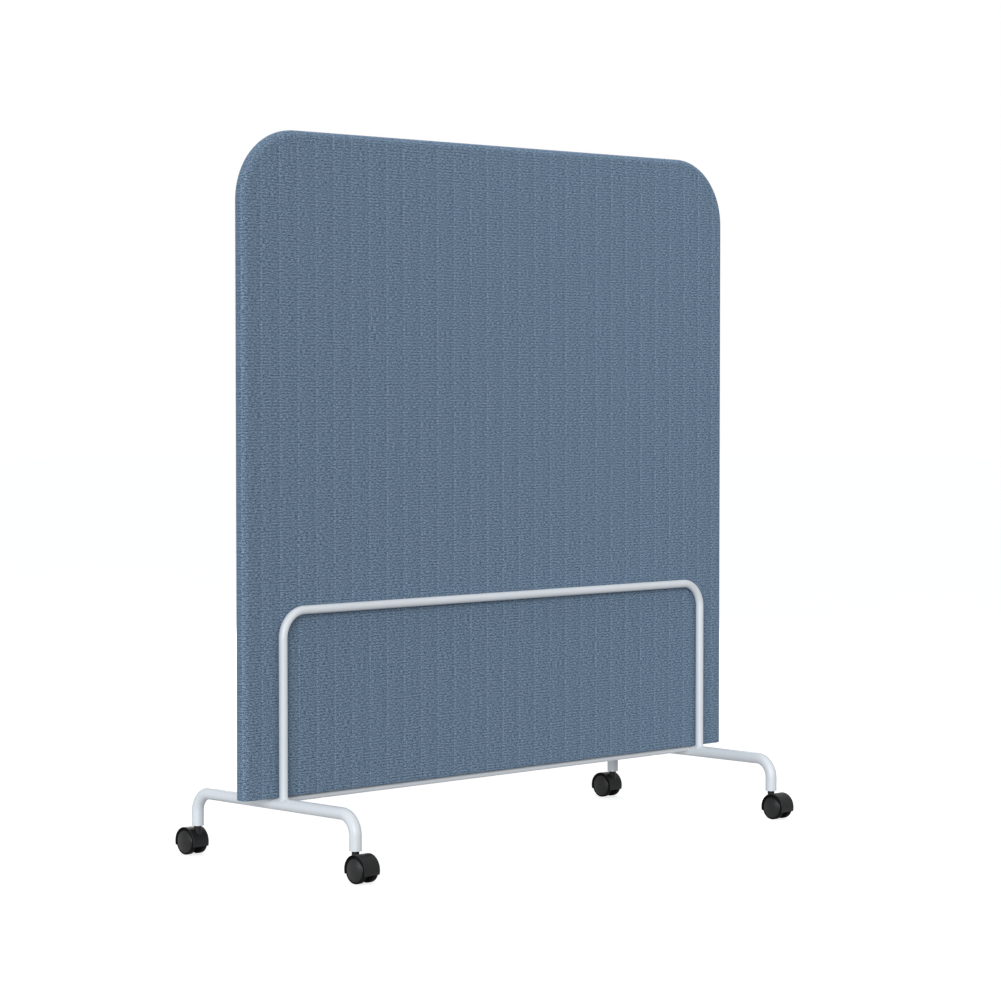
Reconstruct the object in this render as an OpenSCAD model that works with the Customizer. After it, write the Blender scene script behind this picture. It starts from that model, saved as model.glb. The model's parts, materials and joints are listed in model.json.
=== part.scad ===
// Rolling partition: an upholstered sound-absorbing panel on a bent-tube frame with four
// hooded twin-wheel castors.
//
// Millimetres. +Z is up, +X runs along the panel, the front hoop faces -Y. The origin is on
// the floor, under the middle of the panel.

/* [Panel] */
// Width of the upholstered panel
panel_w = 1612; // [1000:2:2000]
// Height of the upholstered panel
panel_h = 1502; // [900:2:1800]
// Thickness of the panel over its fabric
panel_t = 38; // [34:1:60]
// Radius of the two upper corners
corner_r = 162; // [120:1:300]
// Rounding of the panel's sides and top, over the fabric
edge_r = 17; // [12:0.5:18]
// Thickness of the fabric cover
cover_t = 1; // [0.8:0.1:1.5]
// Thickness of the foam under the fabric, on each face
foam_t = 6; // [6:1:10]
// Width of each timber member of the inner frame
member_w = 60; // [40:5:90]
// Width of the closing strip along the underside
strip_w = 16; // [12:1:20]
// Length by which the closing strip stops short of each end of the panel
strip_short = 36; // [20:1:60]
// Clearance between the layers of the panel
layer_gap = 0.1; // [0.05:0.05:0.2]
// Clearance round the absorbing core
core_gap = 0.5; // [0.2:0.1:1]

/* [Feet and rail] */
// Outer diameter of the foot tubes
foot_d = 28; // [25:1:32]
// Wall of the foot tubes
foot_wall = 1.5; // [1.2:0.1:2]
// Distance from the panel's side edge to the middle of a foot
foot_inset = 102.4; // [60:0.1:200]
// Distance from the panel's middle plane to a castor's stem
foot_reach = 273.2; // [200:0.1:360]
// Bend radius of the foot tubes, at the middle of the tube
foot_bend_r = 45; // [38:1:50]
// Drop from the middle of a foot tube to its open end
foot_drop = 78; // [76:1:100]
// Gap between the panel's underside and the foot tubes
seat_gap = 0.2; // [0.1:0.1:0.5]
// Outer diameter of the rail under the panel
rail_d = 15; // [14:0.5:18]
// Wall of the rail
rail_wall = 1.5; // [1.2:0.1:1.6]
// Distance of the rail's top below the top of the foot tubes
rail_drop = 0.3; // [0.2:0.1:0.6]

/* [Hoops] */
// Outer diameter of the hoop tubes
hoop_d = 20; // [16:1:24]
// Wall of the hoop tubes
hoop_wall = 1.5; // [1.2:0.1:2]
// Height of a hoop's top bar above the panel's underside, at the middle of the tube
hoop_h = 421.4; // [300:0.1:700]
// Bend radius of the hoops, at the middle of the tube
hoop_bend_r = 62; // [40:1:100]
// Air gap between a hoop and the fabric
hoop_gap = 2.9; // [2:0.1:6]
// Diameter of the buffers that bridge the air gap
pad_d = 8; // [5:1:10]
// Height of the leg buffers above the panel's underside
pad_h = 220; // [100:10:250]
// Distance of the bar buffers from the panel's middle
pad_x = 320; // [100:10:400]
// Size of the weld beads
weld_leg = 2; // [1.5:0.1:2.5]
// Clearance modelled between a bead and its tubes
weld_gap = 0.05; // [0.02:0.01:0.1]

/* [Castors] */
// Height of the foot tube's open end above the floor
castor_h = 69; // [68:0.5:80]
// Distance from the stem's axis to the axle's axis
castor_trail = 21.5; // [20:0.5:24]
// Width over both wheel discs
castor_w = 51; // [48:0.5:54]
// Wheel diameter
wheel_d = 60; // [56:0.5:61]
// Distance from the outside of a disc to the inner side of its wheel
wheel_w = 14.5; // [14:0.5:16]
// Thickness of the wheel's rim wall
rim_t = 3.5; // [3:0.1:5]
// Rounding of the wheel's outer edge
rim_r = 1.5; // [1:0.1:2.8]
// Thickness of the wheel's web
web_t = 2.5; // [2:0.1:3]
// Diameter of the wheel's hub
hub_d = 14; // [12:0.5:18]
// Diameter of the disc that covers the wheel's outer side
disc_d = 54; // [44:0.5:54]
// Thickness of the wheel disc at its edge
disc_t = 4; // [3.8:0.1:4.4]
// Height of the wheel disc's crown
disc_crown = 3; // [2:0.1:3.4]
// Rounding of the wheel disc's shoulder
disc_r = 4; // [1.5:0.1:4.2]
// Thickness of the hood's shell
hood_wall = 1.7; // [1.4:0.1:2]
// Gap between the wheel's tread and the hood
hood_gap = 2.6; // [0.6:0.1:3]
// Height of the hood's lower edges above the floor
hood_open_h = 20; // [16:0.5:22]
// Distance from the hood's side rim to the outside of the wheel
hood_setback = 2.7; // [1.5:0.1:4]
// Rounding of the hood's side rim
hood_rim_r = 1.2; // [0.5:0.1:1.3]
// Thickness of the web between the wheels
hood_web_t = 5; // [4:0.5:8]
// Diameter of the hood's neck, which turns on the stem
neck_d = 17; // [14:0.2:17.4]
// Height of the neck's lower end above the floor
neck_foot_h = 33; // [31:0.5:35]
// Diameter of the boss that holds the axle
axle_boss_d = 14; // [11:0.5:16]
// Length of the boss that holds the axle
axle_boss_l = 20; // [16:0.5:21]
// Side clearance between a wheel's hub and the axle boss
hub_side_gap = 0.3; // [0.2:0.1:0.5]

/* [Axle and stem] */
// Axle diameter
axle_d = 6; // [5:0.5:7]
// Diameter of the riveted heads on the axle
axle_head_d = 9; // [8.5:0.5:10]
// Thickness of the riveted heads
axle_head_t = 1.3; // [1:0.1:1.4]
// Play between an axle head and its wheel
axle_play = 0.2; // [0.1:0.1:0.3]
// Diameter of the stem's shank in the foot tube
stem_d = 11; // [10:0.5:11.5]
// Length of the stem's shank
stem_l = 22; // [20:1:24]
// Diameter of the stem's flange
flange_d = 15; // [13:0.5:16]
// Thickness of the stem's flange
flange_t = 1.2; // [1:0.1:2]
// Diameter of the stem's spigot, which carries the castor
spigot_d = 8; // [7:0.5:8.5]
// Height of the spigot's lower end above the floor
spigot_foot_h = 38; // [36.5:0.5:41]
// Gap between the stem's flange and the castor's neck
swivel_gap = 0.3; // [0.2:0.1:0.5]
// Radial running clearance of the wheels and swivels
run_gap = 0.05; // [0.02:0.01:0.08]
// Radial clearance modelled where parts are pressed together
fit_gap = 0.02; // [0.01:0.01:0.05]
// Length of the socket that holds the stem in the foot tube
socket_l = 28; // [26:1:30]
// Bevel at both ends of the stem
stem_bevel = 0.8; // [0.4:0.1:1.2]
// Height of the snap groove above the spigot's lower end
snap_rise = 6; // [4:0.5:10]
// Width of the snap groove
snap_w = 1.4; // [1.2:0.1:2]
// Depth of the snap groove in the spigot
snap_depth = 0.6; // [0.5:0.1:0.8]
// Thickness of the ridge that snaps into the groove
snap_ridge_t = 0.8; // [0.6:0.1:1]
// Depth by which the ridge is rooted in the neck
snap_root = 0.5; // [0.3:0.1:1]
// Distance from the shank's upper end down to the grip groove's lower edge
grip_setback = 8; // [5:0.5:12]
// Width of the grip ring's groove
grip_w = 2; // [1.8:0.1:3]
// Depth of the grip ring's groove in the shank
grip_depth = 0.9; // [0.7:0.1:1.2]
// Thickness of the grip ring
grip_ring_t = 1.6; // [1:0.1:1.7]
// Distance by which the relaxed grip ring stands out of the shank
grip_proud = 0.25; // [0.1:0.05:0.4]
// Angle of the grip ring's split
grip_gap_deg = 40; // [20:5:60]

/* [Fixings] */
// Number of screws along the rail
screw_count = 5; // [3:1:9]
// Distance between the outermost rail screws
screw_span = 1120; // [600:10:1200]
// Screw thread diameter
screw_d = 5; // [4:0.5:5]
// Screw shank length
screw_l = 18; // [16:1:20]
// Screw head diameter
screw_head_d = 8.5; // [7:0.5:9]
// Screw head height
screw_head_h = 2.8; // [2:0.1:3.4]
// Hexagon socket size of the screw head
screw_hex = 3; // [2.5:0.5:4]
// Clearance of the screw in the holes it passes through
screw_gap = 0.3; // [0.2:0.1:0.5]
// Diameter of the access holes in the rail's underside
access_d = 10.4; // [9.5:0.1:11]
// Diameter of the saddle washers inside the rail
washer_d = 9.2; // [8:0.1:10]
// Thickness of a saddle washer at its edge
washer_edge_t = 0.6; // [0.4:0.1:1]
// Diameter of the threaded inserts in the bottom member
insert_d = 7.6; // [7:0.1:9]
// Length of the threaded inserts
insert_l = 12; // [10:1:14]
// Depth of the holes for the inserts
insert_hole_l = 20; // [18:1:30]

/* [Hidden] */
$fn = 96;
// Overshoot of every cutting solid
over = 1;

// Heights of the frame
foot_z = castor_h + foot_drop;
foot_top = foot_z + foot_d / 2;
panel_z0 = foot_top + seat_gap;
panel_top = panel_z0 + panel_h;
rail_z = foot_top - rail_drop - rail_d / 2;
hoop_z = panel_z0 + hoop_h;

// Places of the frame
foot_x = panel_w / 2 - foot_inset;
hoop_y = panel_t / 2 + hoop_gap + hoop_d / 2;

// Layers of the panel, whose edges keep a flat band between the two roundings
edge_band = 2;
edge = min(edge_r, (panel_t - edge_band) / 2);
core_t = panel_t - 2 * (cover_t + foam_t);
inner_inset = cover_t + layer_gap;
timber_inset = inner_inset + foam_t;
timber_edge_r = edge - timber_inset;
member_z1 = panel_z0 + inner_inset + member_w;
core_inset = timber_inset + member_w + core_gap;
strip_l = panel_w - 2 * strip_short;

// Castor: heights above the floor, and distances outward from its middle plane
wheel_r = wheel_d / 2;
axle_z = wheel_r;
axle_y = foot_reach + castor_trail;
hood_in_r = wheel_r + hood_gap;
hood_r = hood_in_r + hood_wall;
hood_half = castor_w / 2 - hood_setback;
disc_seat = castor_w / 2 - disc_crown - disc_t;
web_x = disc_seat - web_t;
head_x = disc_seat - hub_side_gap - axle_head_t;
head_seat = head_x - axle_play;
hub_x = axle_boss_l / 2 + hub_side_gap;
neck_top = castor_h - flange_t - swivel_gap;

// Snap groove of the spigot and grip groove of the shank
snap_z = spigot_foot_h + snap_rise;
snap_ridge_r = spigot_d / 2 - snap_depth / 2;
grip_z = castor_h + stem_l - grip_setback;
grip_ring_r = stem_d / 2 + grip_proud;

// Rail screws
rail_in_r = rail_d / 2 - rail_wall;
washer_z = rail_z + sqrt(pow(rail_in_r, 2) - pow(washer_d / 2, 2)) - washer_edge_t;
insert_z = panel_z0 + inner_inset;

// Name, side (-1 left, 1 right) and end (-1 front, 1 rear) of each castor
CASTORS = [["front_left", -1, -1], ["front_right", 1, -1], ["rear_left", -1, 1], ["rear_right", 1, 1]];
CASTOR_PIECES = [
    "castor_hood", "castor_axle", "outer_wheel", "inner_wheel",
    "outer_wheel_disc", "inner_wheel_disc", "castor_stem", "stem_socket"
];

// Colours
fabric_blue = "#62748b";
foam_grey = "#8f9296";
felt_black = "#34373b";
timber = "#c9a878";
wool = "#b9b08a";
frame_white = "#dfe6ea";
zinc = "#b9bcc0";
brass_insert = "#b39a5a";
castor_black = "#2b2b2d";
wheel_black = "#1f2022";
buffer_grey = "#4a4d50";
socket_grey = "#3a3b3d";

// ---------------------------------------------------------------- plain building blocks

// A quarter of a disc in the +x +y quadrant
module quarter(r) {
    intersection() {
        circle(r);
        square(r);
    }
}

// A rectangle from one corner to the other
module span(x0, y0, x1, y1) {
    polygon([[x0, y0], [x1, y0], [x1, y1], [x0, y1]]);
}

// Children drawn in x and z, and extruded in y from y0 to y1
module upright(y0, y1) {
    translate([0, y1, 0]) rotate([90, 0, 0]) linear_extrude(y1 - y0) children();
}

// A cylinder along x
module x_cyl(r, x0, x1) {
    translate([x0, 0, 0]) rotate([0, 90, 0]) cylinder(r = r, h = x1 - x0);
}

// A cylinder along y
module y_cyl(r, y0, y1) {
    translate([0, y1, 0]) rotate([90, 0, 0]) cylinder(r = r, h = y1 - y0);
}

// Both sides of the middle plane x = 0
module both_sides() {
    children();
    mirror([1, 0, 0]) children();
}

// The cross-section of a tube
module ring(d, wall) {
    difference() {
        circle(d = d);
        circle(d = d - 2 * wall);
    }
}

// A straight tube along +z
module tube(d, wall, l) {
    linear_extrude(l) ring(d, wall);
}

// A quarter bend of tube in x and y, round the origin, from +x to +y
module bend(d, wall, r) {
    rotate_extrude(angle = 90) translate([r, 0]) ring(d, wall);
}

// ---------------------------------------------------------------- the panel

// Section across a rounded edge: x runs inward from the edge for l, y from y0, the face, to y1
module edge_section(l, y0, y1, r) {
    span(0, y0 + r, r, y1);
    if (l > r) span(r, y0, l, y1);
    translate([r, y0 + r]) rotate(180) quarter(r);
}

// The edge swept through a corner of the panel of radius l, round a flat middle
module edge_corner(l, y0, y1, r) {
    upright(y0, y1) quarter(l - r);
    rotate([90, 0, 0]) rotate_extrude(angle = 90) translate([l, 0]) mirror([1, 0]) mirror([0, 1])
        edge_section(2 * r, y0, y1, r);
}

// A slab with the panel's outline, its front edge rounded at the sides and the top, from the
// face y0 to y1. It is drawn in by side at the sides and the top, and by foot at the underside.
module rounded_slab(side, foot, y0, y1, r) {
    x = panel_w / 2 - side;
    z0 = panel_z0 + foot;
    z1 = panel_top - side;
    top = corner_r - side;
    // Between the corners
    upright(y0, y1) span(top - x, z0, x - top, z1 - top);
    // Top edge
    translate([top - x, 0, z1]) rotate([0, 90, 0]) linear_extrude(2 * (x - top))
        edge_section(top, y0, y1, r);
    both_sides() {
        // Side edge
        translate([-x, 0, z0]) linear_extrude(z1 - top - z0) edge_section(top, y0, y1, r);
        // Upper corner
        translate([x - top, 0, z1 - top]) edge_corner(top, y0, y1, r);
    }
}

// Half of the fabric cover, wrapped round the edges to the panel's middle plane
module half_cover() {
    difference() {
        rounded_slab(0, 0, -panel_t / 2, 0, edge);
        rounded_slab(cover_t, cover_t, cover_t - panel_t / 2, over, edge - cover_t);
        // Room for the closing strip
        translate([-strip_l / 2, -strip_w / 2, panel_z0 - over]) cube([strip_l, strip_w, cover_t + 2 * over]);
    }
}

module front_cover() {
    color(fabric_blue) half_cover();
}

module rear_cover() {
    color(fabric_blue) mirror([0, 1, 0]) half_cover();
}

// A sheet of foam under the fabric, wrapped round the sides and the top to the middle plane
module foam_sheet() {
    difference() {
        rounded_slab(inner_inset, inner_inset, cover_t - panel_t / 2, 0, edge - inner_inset);
        rounded_slab(cover_t + foam_t, -over, -core_t / 2, over, edge - cover_t - foam_t);
    }
}

module front_foam() {
    color(foam_grey) foam_sheet();
}

module rear_foam() {
    color(foam_grey) mirror([0, 1, 0]) foam_sheet();
}

// Sound-absorbing core between the left stile and the centre stile
module left_core() {
    x0 = core_inset - panel_w / 2;
    z0 = member_z1 + core_gap;
    z1 = panel_top - core_inset;
    r = corner_r - core_inset;
    color(wool) upright(-core_t / 2, core_t / 2) {
        span(x0, z0, x0 + r, z1 - r);
        span(x0 + r, z0, -member_w / 2 - core_gap, z1);
        translate([x0 + r, z1 - r]) mirror([1, 0]) quarter(r);
    }
}

module right_core() {
    mirror([1, 0, 0]) left_core();
}

// Section of an edge timber: x runs inward for l from its outer edge, which is rounded
module timber_section(l) {
    for (s = [0, 1]) mirror([0, s]) edge_section(l, -core_t / 2, 0, timber_edge_r);
}

// Bottom timber, with the holes of the threaded inserts
module bottom_member() {
    l = panel_w / 2 - timber_inset;
    color(timber) difference() {
        translate([0, 0, panel_z0 + inner_inset]) linear_extrude(member_w)
            for (s = [0, 1]) mirror([s, 0]) translate([-l, 0]) timber_section(l);
        at_screws(insert_z - over) cylinder(d = insert_d + 2 * fit_gap, h = insert_hole_l + over);
    }
}

module top_member() {
    color(timber) translate([corner_r - panel_w / 2, 0, panel_top - timber_inset]) rotate([0, 90, 0])
        linear_extrude(panel_w - 2 * corner_r) timber_section(member_w);
}

module left_stile() {
    color(timber) translate([timber_inset - panel_w / 2, 0, member_z1])
        linear_extrude(panel_top - corner_r - member_z1) timber_section(member_w);
}

module right_stile() {
    mirror([1, 0, 0]) left_stile();
}

module centre_stile() {
    color(timber) translate([-member_w / 2, -core_t / 2, member_z1])
        cube([member_w, core_t, panel_top - timber_inset - member_w - member_z1]);
}

// Curved block that joins a stile to the top timber
module left_corner_block() {
    color(timber) translate([corner_r - panel_w / 2, 0, panel_top - corner_r]) mirror([1, 0, 0])
        rotate([90, 0, 0]) rotate_extrude(angle = 90) translate([corner_r - timber_inset, 0])
            mirror([1, 0]) timber_section(member_w);
}

module right_corner_block() {
    mirror([1, 0, 0]) left_corner_block();
}

// Closing strip over the staples under the panel, with the screw holes
module bottom_strip() {
    x = strip_l / 2 - layer_gap;
    y = strip_w / 2 - layer_gap;
    color(felt_black) difference() {
        translate([-x, -y, panel_z0]) cube([2 * x, 2 * y, cover_t]);
        at_screws(panel_z0 - over) cylinder(d = screw_d + 2 * screw_gap, h = cover_t + 2 * over);
    }
}

// ---------------------------------------------------------------- the frame

// A foot: level tube that bends down at both ends
module foot_tube(side) {
    run = foot_reach - foot_bend_r;
    translate([side * foot_x, 0, 0]) {
        translate([0, run, foot_z]) rotate([90, 0, 0]) tube(foot_d, foot_wall, 2 * run);
        for (end = [-1, 1]) {
            translate([0, end * run, foot_z - foot_bend_r]) rotate([90, 0, end * 90])
                bend(foot_d, foot_wall, foot_bend_r);
            translate([0, end * foot_reach, castor_h]) tube(foot_d, foot_wall, foot_drop - foot_bend_r);
        }
    }
}

module left_foot_tube() {
    color(frame_white) foot_tube(-1);
}

module right_foot_tube() {
    color(frame_white) foot_tube(1);
}

// The round space that a foot takes up, less what is welded to it
module foot_room(r) {
    both_sides() translate([foot_x, 0, foot_z]) y_cyl(r, -foot_reach, foot_reach);
}

// A hoop: two legs saddled on the feet, two bends and a bar
module hoop(y) {
    z = hoop_z - hoop_bend_r;
    bar = 2 * (foot_x - hoop_bend_r);
    difference() {
        translate([0, y, 0]) {
            both_sides() {
                translate([foot_x, 0, foot_z]) tube(hoop_d, hoop_wall, z - foot_z);
                translate([bar / 2, 0, z]) rotate([90, 0, 0]) bend(hoop_d, hoop_wall, hoop_bend_r);
            }
            translate([-bar / 2, 0, hoop_z]) rotate([0, 90, 0]) tube(hoop_d, hoop_wall, bar);
        }
        foot_room(foot_d / 2 + weld_gap);
    }
}

module front_hoop() {
    color(frame_white) hoop(-hoop_y);
}

module rear_hoop() {
    color(frame_white) hoop(hoop_y);
}

// Rail under the panel, saddled between the feet, drilled for the screws
module bottom_rail() {
    color(frame_white) difference() {
        translate([-foot_x, 0, rail_z]) rotate([0, 90, 0]) tube(rail_d, rail_wall, 2 * foot_x);
        foot_room(foot_d / 2 + weld_gap);
        at_screws(rail_z) cylinder(d = screw_d + 2 * screw_gap, h = rail_d);
        at_screws(rail_z - rail_d) cylinder(d = access_d, h = rail_d);
    }
}

// Bead where a tube along z, of diameter d, stands on a foot tube along y
module leg_bead(d) {
    difference() {
        intersection() {
            cylinder(d = d + 2 * weld_leg, h = foot_d);
            y_cyl(foot_d / 2 + weld_leg, -d, d);
        }
        translate([0, 0, -over]) cylinder(d = d + 2 * weld_gap, h = foot_d + 2 * over);
        y_cyl(foot_d / 2 + weld_gap, -d - over, d + over);
    }
}

// Bead under the rail's end, on the inner side of the right foot
module rail_bead() {
    rise = rail_z - foot_z;
    difference() {
        intersection() {
            translate([0, 0, rise]) x_cyl(rail_d / 2 + weld_leg, -foot_d, 0);
            y_cyl(foot_d / 2 + weld_leg, -rail_d, rail_d);
        }
        translate([0, 0, rise]) x_cyl(rail_d / 2 + weld_gap, -foot_d - over, over);
        y_cyl(foot_d / 2 + weld_gap, -rail_d - over, rail_d + over);
        translate([-foot_d - over, -rail_d, rise]) cube([foot_d + 2 * over, 2 * rail_d, foot_d]);
    }
}

// Weld beads round the hoop legs and under the rail's ends
module frame_welds() {
    color(frame_white) {
        for (side = [-1, 1], end = [-1, 1]) translate([side * foot_x, end * hoop_y, foot_z]) leg_bead(hoop_d);
        both_sides() translate([foot_x, 0, foot_z]) rail_bead();
    }
}

// Buffers between the panel's front face and the front hoop
module hoop_pads() {
    difference() {
        both_sides() {
            translate([foot_x, 0, panel_z0 + pad_h]) y_cyl(pad_d / 2, -hoop_y, -panel_t / 2);
            translate([pad_x, 0, hoop_z]) y_cyl(pad_d / 2, -hoop_y, -panel_t / 2);
        }
        both_sides() translate([foot_x, -hoop_y, foot_z])
            cylinder(d = hoop_d + 2 * weld_gap, h = hoop_h);
        translate([0, -hoop_y, hoop_z]) x_cyl(hoop_d / 2 + weld_gap, -foot_x, foot_x);
    }
}

module front_hoop_pads() {
    color(buffer_grey) hoop_pads();
}

module rear_hoop_pads() {
    color(buffer_grey) mirror([0, 1, 0]) hoop_pads();
}

// ---------------------------------------------------------------- screws in the rail

// Children at each screw's axis, at a height
module at_screws(z) {
    for (i = [0 : screw_count - 1])
        translate([screw_span * (i / (screw_count - 1) - 0.5), 0, z]) children();
}

// Cap screws, their heads hidden inside the rail
module rail_screws() {
    color(zinc) at_screws(washer_z) difference() {
        union() {
            translate([0, 0, -screw_head_h]) cylinder(d = screw_head_d, h = screw_head_h);
            cylinder(d = screw_d, h = screw_l);
        }
        translate([0, 0, -screw_head_h - over]) cylinder(d = screw_hex, h = screw_head_h / 2 + over, $fn = 6);
    }
}

// Washers shaped to the inside of the rail
module rail_saddle_washers() {
    color(zinc) difference() {
        intersection() {
            at_screws(washer_z) cylinder(d = washer_d, h = rail_d);
            translate([0, 0, rail_z]) x_cyl(rail_in_r - fit_gap, -foot_x, foot_x);
        }
        at_screws(rail_z) cylinder(d = screw_d + 2 * screw_gap, h = rail_d);
    }
}

// Threaded inserts in the bottom member
module panel_inserts() {
    color(brass_insert) at_screws(insert_z) difference() {
        cylinder(d = insert_d, h = insert_l);
        translate([0, 0, -over]) cylinder(d = screw_d + 2 * fit_gap, h = insert_l + 2 * over);
    }
}

// ---------------------------------------------------------------- the castors

// Children placed on a castor's stem axis, its trail pointing away from the panel
module at_stem(c) {
    translate([c[1] * foot_x, c[2] * foot_reach, 0]) rotate(c[2] > 0 ? 0 : 180) children();
}

// Children placed on a castor's axle, their z axis pointing to one side
module at_axle(c, side) {
    translate([c[1] * foot_x, c[2] * axle_y, axle_z]) rotate([0, side * 90, 0]) children();
}

// Section of the hood's shell over the wheels: radius across, width up
module hood_section() {
    span(hood_in_r, -hood_half, hood_r - hood_rim_r, hood_half);
    span(hood_r - hood_rim_r, hood_rim_r - hood_half, hood_r, hood_half - hood_rim_r);
    for (s = [0, 1]) mirror([0, s]) translate([hood_r - hood_rim_r, hood_half - hood_rim_r])
        quarter(hood_rim_r);
}

// Hood with its web, axle boss and neck
module castor_hood(c) {
    color(castor_black) at_stem(c) {
        difference() {
            union() {
                translate([0, castor_trail, axle_z]) rotate([0, 90, 0]) {
                    rotate_extrude() hood_section();
                    translate([0, 0, -hood_web_t / 2]) cylinder(r = hood_in_r + hood_wall / 2, h = hood_web_t);
                    translate([0, 0, -axle_boss_l / 2]) cylinder(d = axle_boss_d, h = axle_boss_l);
                }
                translate([0, 0, neck_foot_h]) cylinder(d = neck_d, h = neck_top - neck_foot_h);
            }
            // Open underside
            translate([-castor_w, -castor_w, hood_open_h - 2 * hood_r]) cube([2 * castor_w, 3 * castor_w, 2 * hood_r]);
            translate([0, castor_trail, axle_z]) x_cyl(axle_d / 2 + fit_gap, -castor_w, castor_w);
            translate([0, 0, spigot_foot_h - over]) cylinder(d = spigot_d + 2 * run_gap, h = castor_h);
        }
        // Ridge that snaps into the spigot's groove
        translate([0, 0, snap_z + (snap_w - snap_ridge_t) / 2]) difference() {
            cylinder(d = spigot_d + 2 * snap_root, h = snap_ridge_t);
            translate([0, 0, -over]) cylinder(r = snap_ridge_r, h = snap_ridge_t + 2 * over);
        }
    }
}

// Axle riveted at both ends
module castor_axle(c) {
    color(zinc) at_axle(c, 1) {
        translate([0, 0, -head_x]) cylinder(d = axle_d, h = 2 * head_x);
        for (end = [0, 1]) mirror([0, 0, end]) translate([0, 0, head_x])
            cylinder(d = axle_head_d, h = axle_head_t);
    }
}

// Section of a wheel: radius across, distance from the castor's middle up
module wheel_section() {
    face = disc_seat + disc_t;
    tread_x = castor_w / 2 - wheel_w;
    span(axle_d / 2 + run_gap, hub_x, hub_d / 2, head_seat);
    difference() {
        union() {
            span(0, tread_x, wheel_r - rim_r, face);
            span(0, tread_x, wheel_r, face - rim_r);
            translate([wheel_r - rim_r, face - rim_r]) quarter(rim_r);
        }
        // Hollow inner side, room for the disc, and for the axle's head
        span(0, tread_x - over, wheel_r - rim_t, web_x);
        span(0, disc_seat, disc_d / 2 + layer_gap, face + over);
        span(0, web_x - over, axle_head_d / 2 + hub_side_gap, face + over);
    }
}

module wheel(c, side) {
    color(wheel_black) at_axle(c, side) rotate_extrude() wheel_section();
}

// Domed disc that closes a wheel's outer side, its shoulder rounded tangent to the dome
module wheel_disc(c, side) {
    dome_r = (pow(disc_d / 2, 2) + pow(disc_crown, 2)) / (2 * disc_crown);
    dome_x = disc_seat + disc_t + disc_crown - dome_r;
    x = disc_d / 2 - disc_r;
    z = dome_x + sqrt(pow(dome_r - disc_r, 2) - pow(x, 2));
    color(castor_black) at_axle(c, side) rotate_extrude() {
        intersection() {
            span(0, disc_seat, x * dome_r / (dome_r - disc_r), castor_w / 2);
            translate([0, dome_x]) circle(dome_r, $fn = 720);
        }
        span(0, disc_seat, disc_d / 2, z);
        translate([x, z]) quarter(disc_r);
    }
}

// Stem: shank in the foot tube, flange, and spigot in the hood's neck
module castor_stem(c) {
    r0 = spigot_d / 2;
    r1 = stem_d / 2;
    color(zinc) at_stem(c) rotate_extrude() polygon([
        [0, spigot_foot_h], [r0 - stem_bevel, spigot_foot_h], [r0, spigot_foot_h + stem_bevel],
        [r0, snap_z], [r0 - snap_depth, snap_z], [r0 - snap_depth, snap_z + snap_w], [r0, snap_z + snap_w],
        [r0, castor_h - flange_t], [flange_d / 2, castor_h - flange_t], [flange_d / 2, castor_h],
        [r1, castor_h], [r1, grip_z], [r1 - grip_depth, grip_z], [r1 - grip_depth, grip_z + grip_w],
        [r1, grip_z + grip_w], [r1, castor_h + stem_l - stem_bevel], [r1 - stem_bevel, castor_h + stem_l],
        [0, castor_h + stem_l]
    ]);
}

// Socket pressed into the foot tube's open end
module stem_socket(c) {
    color(socket_grey) at_stem(c) difference() {
        translate([0, 0, castor_h]) cylinder(d = foot_d - 2 * foot_wall - 2 * fit_gap, h = socket_l);
        translate([0, 0, castor_h - over]) cylinder(d = stem_d + 2 * run_gap, h = stem_l + 2 * over);
        translate([0, 0, grip_z]) cylinder(r = grip_ring_r + run_gap, h = grip_w);
    }
}

// Split spring rings that hold the stems in their sockets
module stem_grip_rings() {
    r = stem_d / 2 - grip_depth + run_gap;
    color(zinc) for (c = CASTORS) at_stem(c)
        translate([0, 0, grip_z + (grip_w - grip_ring_t) / 2])
            rotate_extrude(angle = 360 - grip_gap_deg) translate([r, 0]) square([grip_ring_r - r, grip_ring_t]);
}

// ---------------------------------------------------------------- nodes

front_cover();
rear_cover();
front_foam();
rear_foam();
left_core();
right_core();
bottom_member();
top_member();
left_stile();
right_stile();
centre_stile();
left_corner_block();
right_corner_block();
bottom_strip();
left_foot_tube();
right_foot_tube();
front_hoop();
rear_hoop();
bottom_rail();
frame_welds();
front_hoop_pads();
rear_hoop_pads();
rail_screws();
rail_saddle_washers();
panel_inserts();
stem_grip_rings();
for (c = CASTORS) {
    castor_hood(c);
    castor_axle(c);
    wheel(c, c[1]);
    wheel(c, -c[1]);
    wheel_disc(c, c[1]);
    wheel_disc(c, -c[1]);
    castor_stem(c);
    stem_socket(c);
}
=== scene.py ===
# %% [markdown]
# # A rolling partition, dressed
# The real object is a sound-absorbing board, upholstered in a slubby blue-grey
# cloth, that stands between two bent-tube hoops on two cross feet with castors.
# Its tubes, welds and castors are true CAD solids already, so they stay and only
# get finishes. The upholstery is soft, so it is modelled here as a taut cover.

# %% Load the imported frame
import json
import math

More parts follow.
